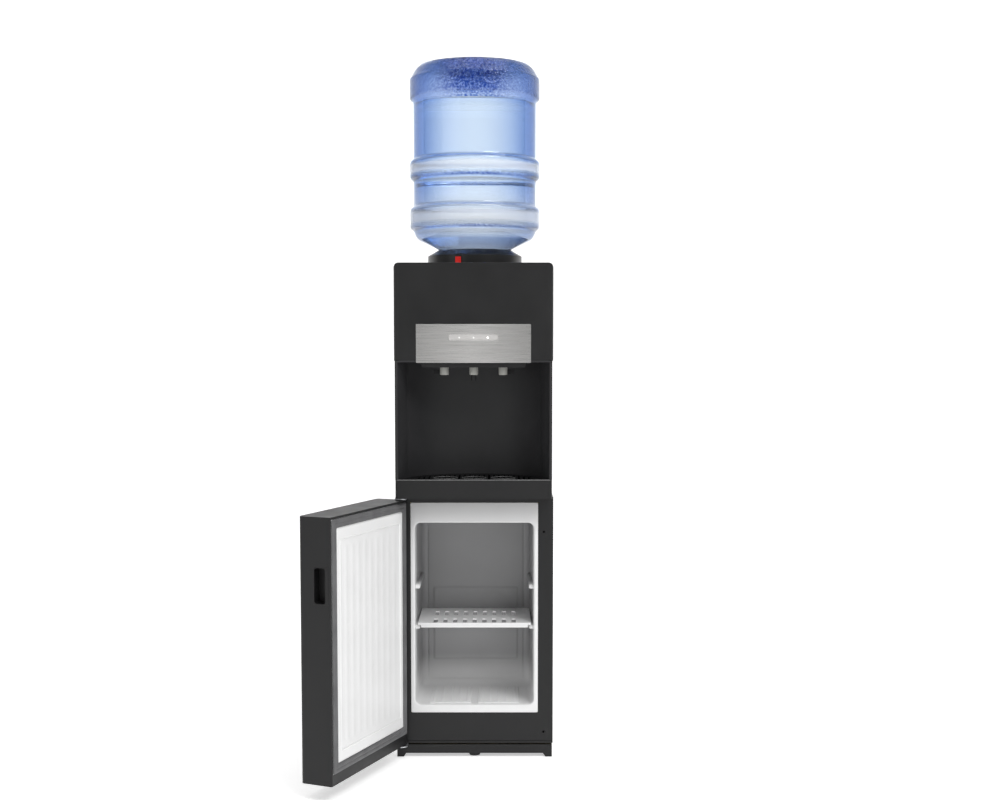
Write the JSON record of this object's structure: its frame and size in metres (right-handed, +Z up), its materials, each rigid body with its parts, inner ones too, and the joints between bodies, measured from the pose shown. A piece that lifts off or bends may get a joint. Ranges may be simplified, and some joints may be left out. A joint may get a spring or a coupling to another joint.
{
  "type": "floor-standing bottled water dispenser",
  "caption": "Floor-standing top-loading water dispenser with three lever taps over a drip tray, an upturned bottle in a collar, and a small fridge with a hinged door below.",
  "frame": {"origin": "on the floor at the middle of the centre front foot, on the centre plane of the cabinet", "axes": "+Z up, +Y from the front to the back, +X to the right as seen from the front"},
  "size_m": [0.4758, 0.59, 1.4097],
  "materials": {
    "black_abs": "fine satin moulding",
    "black_gloss": "gloss moulding",
    "black_sheet": "satin black paint",
    "zinc": "zinc plated sheet",
    "panel_steel": "brushed along its length",
    "tank_steel": "satin",
    "white_liner": "smooth vacuum-formed",
    "shelf_white": "moulded",
    "gasket_grey": "soft extrusion",
    "foam": "rigid foam",
    "spout_grey": "satin grey moulding",
    "lens_smoke": "frosted strip",
    "board_green": "printed board",
    "red_plastic": "red moulding",
    "blue_plastic": "blue moulding",
    "valve_white": "moulded",
    "hose": "silicone hose",
    "copper": "copper tube",
    "comp_black": "black enamel",
    "foot_rubber": "moulded",
    "bottle_blue": "clear blue",
    "water": "clear",
    "cap_white": "moulded"
  },
  "bodies": {
    "root": {"base_pan": "zinc", "plinth": "black_abs", "centre_foot": "foot_rubber", "rear_feet": "foot_rubber", "left_lower_panel": "black_sheet", "right_lower_panel": "black_sheet", "fridge_frame": "black_abs", "fridge_liner": "white_liner", "fridge_foam": "foam", "deck_plate": "black_abs", "back_panel": "black_sheet", "compressor": "comp_black", "condenser": "comp_black", "refrigerant_lines": "copper", "top_hinge": "zinc", "bottom_hinge": "zinc", "tray_base": "black_abs", "alcove_panel": "black_abs", "left_upper_panel": "black_abs", "right_upper_panel": "black_abs", "front_housing": "black_abs", "control_panel": "panel_steel", "indicator_lens": "lens_smoke", "indicator_board": "board_green", "nozzle_bar": "black_abs", "hot_valve": "red_plastic", "room_valve": "valve_white", "cold_valve": "blue_plastic", "hot_spout": "spout_grey", "room_spout": "spout_grey", "cold_spout": "spout_grey", "top_cover": "black_abs", "hot_tank": "tank_steel", "hot_tank_jacket": "foam", "cold_tank": "tank_steel", "cold_tank_jacket": "foam", "tank_bracket": "zinc", "water_hoses": "hose", "switch_bezel": "black_gloss", "drain_plugs": "valve_white", "case_screws": "zinc"},
    "door": {"door_shell": "black_abs", "door_liner": "white_liner", "door_gasket": "gasket_grey", "door_foam": "foam", "door_grip": "black_gloss"},
    "shelf": {"fridge_shelf": "shelf_white"},
    "tray": {"drip_tray": "black_abs"},
    "grille": {"drip_grille": "black_gloss"},
    "hot_tap_lever": {"hot_lever": "black_gloss"},
    "room_tap_lever": {"room_lever": "black_gloss"},
    "cold_tap_lever": {"cold_lever": "black_gloss"},
    "collar": {"bottle_collar": "black_gloss", "water_probe": "valve_white"},
    "latch": {"guard_latch": "red_plastic"},
    "bottle_assembly": {"bottle": "bottle_blue", "bottle_cap": "cap_white", "bottle_water": "water"},
    "hot_rocker": {"hot_switch": "red_plastic"},
    "cold_rocker": {"cold_switch": "blue_plastic"}
  },
  "joints": [
    {"name": "door_hinge", "type": "hinge", "parent": "root", "child": "door", "pos_m": [-0.148, -0.031, 0.28], "axis": [0, 0, -1], "range_deg": [-113.1, 2]},
    {"name": "shelf_slide", "type": "slide", "parent": "root", "child": "shelf", "axis": [0, -1, 0], "range_m": [0, 0.14]},
    {"name": "tray_lift", "type": "slide", "parent": "root", "child": "tray", "axis": [0, 0, 1], "range_m": [0, 0.04]},
    {"name": "grille_lift", "type": "slide", "parent": "tray", "child": "grille", "axis": [0, 0, 1], "range_m": [0, 0.03]},
    {"name": "hot_lever_push", "type": "hinge", "parent": "root", "child": "hot_tap_lever", "pos_m": [-0.058, -0.044, 0.8055], "axis": [1, 0, 0], "range_deg": [0, 12], "stiffness_Nm_per_rad": 0.2, "springref_deg": -5.73},
    {"name": "room_lever_push", "type": "hinge", "parent": "root", "child": "room_tap_lever", "pos_m": [0, -0.044, 0.8055], "axis": [1, 0, 0], "range_deg": [0, 12], "stiffness_Nm_per_rad": 0.2, "springref_deg": -5.73},
    {"name": "cold_lever_push", "type": "hinge", "parent": "root", "child": "cold_tap_lever", "pos_m": [0.058, -0.044, 0.8055], "axis": [1, 0, 0], "range_deg": [0, 12], "stiffness_Nm_per_rad": 0.2, "springref_deg": -5.73},
    {"name": "collar_lift", "type": "slide", "parent": "root", "child": "collar", "axis": [0, 0, 1], "range_m": [0, 0.08]},
    {"name": "latch_slide", "type": "slide", "parent": "collar", "child": "latch", "axis": [0, 0, 1], "range_m": [0, 0.004]},
    {"name": "bottle_lift", "type": "slide", "parent": "collar", "child": "bottle_assembly", "axis": [0, 0, 1], "range_m": [0, 0.12]},
    {"name": "hot_switch_rock", "type": "hinge", "parent": "root", "child": "hot_rocker", "pos_m": [-0.1045, 0.2642, 0.9417], "axis": [1, 0, 0], "range_deg": [-16, 0]},
    {"name": "cold_switch_rock", "type": "hinge", "parent": "root", "child": "cold_rocker", "pos_m": [-0.0795, 0.2642, 0.9417], "axis": [1, 0, 0], "range_deg": [-16, 0]}
  ]
}
